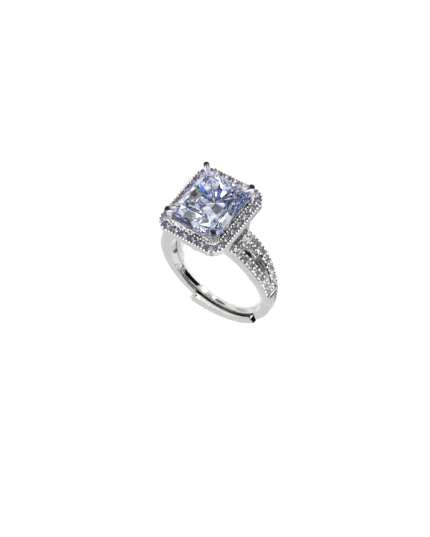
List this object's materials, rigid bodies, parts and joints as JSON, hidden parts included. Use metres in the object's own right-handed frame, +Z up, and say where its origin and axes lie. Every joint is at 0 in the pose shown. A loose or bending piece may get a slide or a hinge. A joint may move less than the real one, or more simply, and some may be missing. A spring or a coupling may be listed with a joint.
{
  "type": "crystal halo ring",
  "caption": "Open adjustable finger ring: a claw-set rectangular crystal in a pave-set halo frame, over split shoulders set with small stones.",
  "frame": {"origin": "centre of the part's box, on the surface that the ring lies on", "axes": "+Z up from that surface, +Y from the open ends of the shank toward the main stone, X across the finger hole"},
  "size_m": [0.0194, 0.0292, 0.0128],
  "materials": {
    "bright_metal": "polished rhodium plate on silver, mirror bright with a slightly warm grey",
    "main_crystal": "faceted crystal, pale periwinkle with white, grey and vivid blue flashes",
    "small_crystal": "small faceted crystals, colourless with a lilac grey tint"
  },
  "bodies": {
    "root": {"ring_mount": "bright_metal", "centre_stone": "main_crystal", "halo_stones": "small_crystal", "shoulder_stones_left": "small_crystal", "shoulder_stones_right": "small_crystal"}
  },
  "joints": []
}
